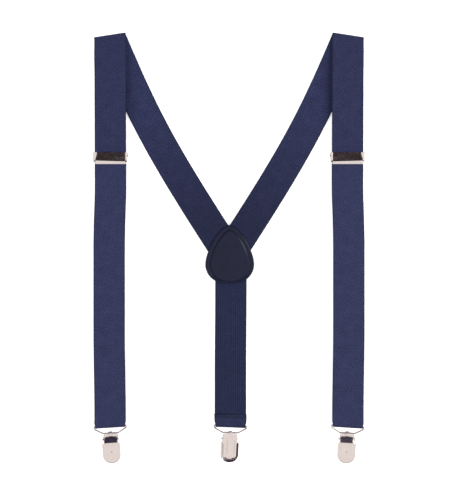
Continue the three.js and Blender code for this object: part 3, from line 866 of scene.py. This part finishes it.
def build_hem_stitches():
    lo, hi = low("centre_hem_stitch"), high("centre_hem_stitch")
    axis = -joint_axis("wire_swing_back")
    middle_y = (lo.y + hi.y) / 2
    centre_x = (lo.x + hi.x) / 2
    z = SECOND + WEB_T / 2 + 0.2
    bm = bmesh.new()
    count, half_run, amplitude = 18, 15.4, 1.3
    points = []
    for i in range(count + 1):
        x = -half_run + 2 * half_run * i / count
        y = middle_y + x * axis.y / axis.x + (amplitude if i % 2 else -amplitude)
        points.append(Vector((centre_x + x, y, z)))
    for a, b in zip(points, points[1:]):
        stitch(bm, a, b, 0.26, UP, 0.15)
    bm.transform(Matrix.Scale(MM, 4))
    seam = new_object("zigzag_hem_stitches", bm, [HEM_THREAD])
    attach(seam, "back")
    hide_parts("centre_hem_stitch")


# ---------------------------------------------------------------- hardware
def finish_metal(label, bm, space, body, node, material):
    bm.transform(space)
    piece = new_object(label, bm, [material])
    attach(piece, body)
    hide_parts(node)


PIN_Y = 3.4
PIN_Z = 7.5
PIN_R = 0.7
EAR_IN = 18.3
EAR_OUT = 19.0
FLANGE_IN = 16.6
LEVER_HALF = 16.2
LIP_HALF = 17.5


def plate_taper(y):
    """How much shorter the lever plate is at its outer end, from nothing at the lip to most at the crest."""
    return 1.7 * smooth(-4.4, 4.6, y)


def build_adjuster(name, side):
    space = adjuster_space(name)
    body = f"adjuster_{name}"

    bm = bmesh.new()
    ear = [(-6.0, 1.3), (1.8, 1.3), (5.4, 2.8), (5.2, 8.4), (4.8, 8.8), (-4.2, 8.8), (-6.0, 5.6)]
    flange = [(-4.3, 8.8), (4.9, 8.8)]
    for way in (-1, 1):
        prism(bm, ear, *sorted((way * EAR_IN, way * EAR_OUT)), bevel=0.12)
        rows = profile_rows(resampled(flange, 0.6), 1)
        for row in rows:
            inner = FLANGE_IN - plate_taper(row.centre.y) * (way == side)
            row.centre.x = way * (inner + EAR_OUT) / 2
            row.half = (EAR_OUT - inner) / 2
        band(bm, rows, 0.4, columns=6)
    rod(bm, 1.5, *sorted((-side * EAR_OUT, -side * (EAR_OUT + 1.2))), 1.2, 7.0, dome=0.7)
    prism(bm, [(-5.2, 1.5), (-1.8, 1.5), (-1.8, 2.4), (-5.2, 2.4)], -EAR_IN - 0.3, EAR_IN + 0.3, bevel=0.25)
    prism(bm, [(1.8, 2.9), (5.2, 2.9), (5.2, 3.8), (1.8, 3.8)], -EAR_IN - 0.3, EAR_IN + 0.3, bevel=0.25)
    finish_metal(f"adjuster_stamped_frame_{name}", bm, space, body, f"adjuster_frame_{name}", NICKEL)

    bm = bmesh.new()
    lip_end, lip_corner = -8.1, 0.7
    path = [(lip_end, 6.55), (-5.3, 6.5), (-4.8, 6.53), (-4.4, 6.65), (4.8, 9.29)]
    path = resampled(rounded_line(path, 1), 0.6)

    def half(y):
        widening = LEVER_HALF + (LIP_HALF - LEVER_HALF) * (1 - smooth(-5.2, -4.4, y))
        widening -= plate_taper(y) / 2
        past = max(0, lip_corner - (y - lip_end))
        return min(widening, LIP_HALF - lip_corner + math.sqrt(max(0, lip_corner ** 2 - past ** 2)))

    def slant(y):
        return side * 0.028 * smooth(-7.6, -5.4, y) * (1 - smooth(-4.0, 2.0, y))

    rows = profile_rows(path, half, 0, 1, slant)
    for row in rows:
        row.centre.x -= side * plate_taper(row.centre.y) / 2
    band(bm, rows, 0.7, columns=24)
    barrel = arc(PIN_Y, PIN_Z, 1.3, 0, 345, 23)
    barrel_half = LEVER_HALF - 2
    prism(bm, barrel, -barrel_half, barrel_half, bevel=0)
    for i in range(11):
        x = -barrel_half + 2 * barrel_half * i / 11
        prism(bm, [(PIN_Y - 0.5, 5.65), (PIN_Y + 0.5, 5.65), (PIN_Y + 0.5, 6.4), (PIN_Y - 0.5, 6.4)],
              x + 0.4, x + 2.1, bevel=0.15)
    finish_metal(f"adjuster_lever_plate_{name}", bm, space, f"adjuster_lever_{name}",
                 f"adjuster_lever_{name}", PRESSED)

    bm = bmesh.new()
    rod(bm, PIN_R, -EAR_OUT - 0.5, EAR_OUT + 0.5, PIN_Y, PIN_Z)
    finish_metal(f"adjuster_hinge_pin_{name}", bm, space, body, f"adjuster_pin_{name}", NICKEL)


def build_wire(name):
    half_top, half_foot, drop = 17.9, 8.6, 8.3
    corners = [(-half_foot, -drop), (half_foot, -drop), (half_top, -3.2), (half_top, 0),
               (-half_top, 0), (-half_top, -3.2)]
    bend = 1.5
    loop = []
    for i, corner in enumerate(corners):
        p = Vector(corner)
        to_last = (Vector(corners[i - 1]) - p).normalized()
        to_next = (Vector(corners[(i + 1) % len(corners)]) - p).normalized()
        a, b = p + to_last * bend, p + to_next * bend
        for k in range(9):
            s = k / 8
            loop.append((1 - s) ** 2 * a + 2 * s * (1 - s) * p + s * s * b)
    bm = bmesh.new()
    tube(bm, loop, BAR_R)
    finish_metal(f"wire_bail_{name}", bm, wire_space(name), f"wire_{name}", f"wire_loop_{name}", MIRROR)


CLIP_BACK = -BAR_Z
PLATE_END = -27.5
TAB_END = -33.4
CLIP_PIN_Y = -6.7
CLIP_PIN_Z = 2.2
CLIP_PIN_R = 0.7
CLIP_EAR_IN = 7.5
CLIP_EAR_OUT = 8.3
TAB_HALF = 10.15
METAL_T = 0.9


def eased(start, end, steps):
    """Places from start to end, closest together near start."""
    return [start + (end - start) * (1 - math.cos(math.pi / 2 * i / steps)) for i in range(steps + 1)]


def build_clip_body(name, space):
    mid = CLIP_BACK + METAL_T / 2
    corner, shoulder, plate_top, plate_half = 2.0, 1.0, -1.3, 7.4
    ys = eased(PLATE_END, PLATE_END + corner, 8)
    ys += [PLATE_END + corner + 0.7 * i for i in range(1, 36)]
    ys = [y for y in ys if y < plate_top - shoulder - 0.3] + eased(plate_top, plate_top - shoulder, 6)[::-1]

    def half(y):
        foot = max(0, corner - (y - PLATE_END))
        head = max(0, shoulder + y - plate_top)
        full = plate_half + (CLIP_EAR_OUT - plate_half) * smooth(-13.2, -11.8, y)
        foot_inset = corner - math.sqrt(max(0, corner ** 2 - foot ** 2))
        return full - foot_inset - shoulder + math.sqrt(max(0, shoulder ** 2 - head ** 2))

    rows = profile_rows([(y, mid) for y in ys], half)

    def grooves(x, i):
        y = rows[i].centre.y
        length = smooth(-26.6, -22.0, y) * smooth(-4.0, -8.5, y)
        return 0.15 * length * (1 + math.cos(math.pi * min(1, abs(abs(x) - 3.9) / 2.4)))

    bm = bmesh.new()
    band(bm, rows, METAL_T, columns=48, shape=grooves)
    curl = BAR_R + GAP + METAL_T / 2
    rolled = [(-5, mid + 0.05), (-2.6, mid + 0.05)] + arc(0, 0, curl, -100, 112, 24)
    band(bm, profile_rows(rolled, 2.4), METAL_T, columns=8)
    ear = [(-3.2, CLIP_BACK + 0.1), (-3.2, 0.8)] + arc(CLIP_PIN_Y, CLIP_PIN_Z, 1.9, 30, 150, 12)
    ear += [(-10.6, 0.2), (-11.6, CLIP_BACK + 0.1)]
    for way in (-1, 1):
        prism(bm, ear, *sorted((way * CLIP_EAR_IN, way * CLIP_EAR_OUT)), bevel=0.2)
    finish_metal(f"clip_back_plate_{name}", bm, space, f"clip_{name}", f"clip_body_{name}", NICKEL)


def build_clip_lever(name, space):
    tip_start = -24.5
    tip = tip_start - TAB_END
    tab_head, tab_corner = -11.0, 0.9
    rim_t, rim_reach, rim_ramp = 0.8, 3.8, 3.4
    path = rounded_line([(TAB_END, 2.8), (-31.5, 2.95), (-27, 3.3), (-21, 3.75), (-15, 3.95), (-11.0, 4.3)])

    def height(y):
        for (y0, z0), (y1, z1) in zip(path, path[1:]):
            if y <= y1:
                return z0 + (z1 - z0) * (y - y0) / (y1 - y0)
        return path[-1][1]

    ys = [tip_start - tip * math.cos(math.radians(a)) for a in range(7, 90, 4)]
    ys += [tip_start + 0.55 * i for i in range(24)]
    ys = [y for y in ys if y < tab_head - 0.8] + eased(tab_head, tab_head - tab_corner, 4)[::-1]

    def half(y):
        if y < tip_start:
            return TAB_HALF * math.sqrt(max(0.0, 1 - ((y - tip_start) / tip) ** 2))
        past = max(0, y - tab_head + tab_corner)
        return TAB_HALF - tab_corner + math.sqrt(max(0, tab_corner ** 2 - past ** 2))

    rows = profile_rows([(y, height(y)) for y in ys], half)

    def from_edge(x, y):
        if y < tip_start:
            return (1 - math.hypot(x / TAB_HALF, (y - tip_start) / tip)) * tip
        return TAB_HALF - abs(x)

    def pressed(x, i):
        y = rows[i].centre.y
        dimple = 0.24 * math.exp(-(x * x + (y + 21.6) ** 2) / 0.9)
        return -0.08 * (1 - smooth(-0.1, 0.8, from_edge(x, y))) - dimple

    def rim(x, i):
        """The tab's edge is folded under: flat and wide along one side, rounded inwards elsewhere."""
        depth = from_edge(x, rows[i].centre.y)
        flat = 2.2 * smooth(2, 7, x) * smooth(-29, -26, rows[i].centre.y)
        return rim_t * min(1, max(0, (rim_reach - depth) / (rim_ramp - flat)))

    bm = bmesh.new()
    band(bm, rows, 0.5, columns=56, shape=pressed, under=rim)

    neck, neck_corner = CLIP_EAR_IN - 0.25, 2.6
    crest = [(-11.2, 4.25), (-10.9, 4.3), (-4.3, 2.42)]

    def shoulders(y):
        return neck - neck_corner + math.sqrt(max(0, neck_corner ** 2 - max(0, y + 6.8) ** 2))

    band(bm, profile_rows(resampled(crest, 0.4), shoulders), 0.7, columns=24)
    cam = [(-11.3, 2.9), (-10.9, 4.2), (-6.9, 3.1), (-6.5, 1.2),
           (-6.0, 0.2), (-7.2, -0.4), (-8.0, -0.3), (-8.9, 1.0)]
    prism(bm, cam, -neck, neck, bevel=0.15)
    finish_metal(f"clip_snap_lever_{name}", bm, space, f"clip_lever_{name}", f"clip_lever_{name}", NICKEL)


def build_clip(name):
    space = clip_space(name)
    build_clip_body(name, space)
    build_clip_lever(name, space)
    bm = bmesh.new()
    rod(bm, CLIP_PIN_R, -9.9, 9.9, CLIP_PIN_Y, CLIP_PIN_Z)
    finish_metal(f"clip_hinge_pin_{name}", bm, space, f"clip_{name}", f"clip_pin_{name}", NICKEL)
    grip = frame["nodes"][f"clip_grip_{name}"]
    grip.data.materials.clear()
    grip.data.materials.append(PLASTIC)


build_stage()
for side_name, side_sign in SIDES.items():
    build_upper_strap(side_name, side_sign)
    build_lower_loop(side_name, side_sign)
    build_adjuster(side_name, side_sign)
build_centre_strap()
build_patch_layer("patch_outer", -1)
build_patch_layer("patch_inner", 1)
build_patch_seam("patch_seam_outer", "patch_outer", -1)
build_patch_seam("patch_seam_inner", "patch_inner", 1)
build_hem_stitches()
for clip_name in ("left", "right", "back"):
    build_wire(clip_name)
    build_clip(clip_name)
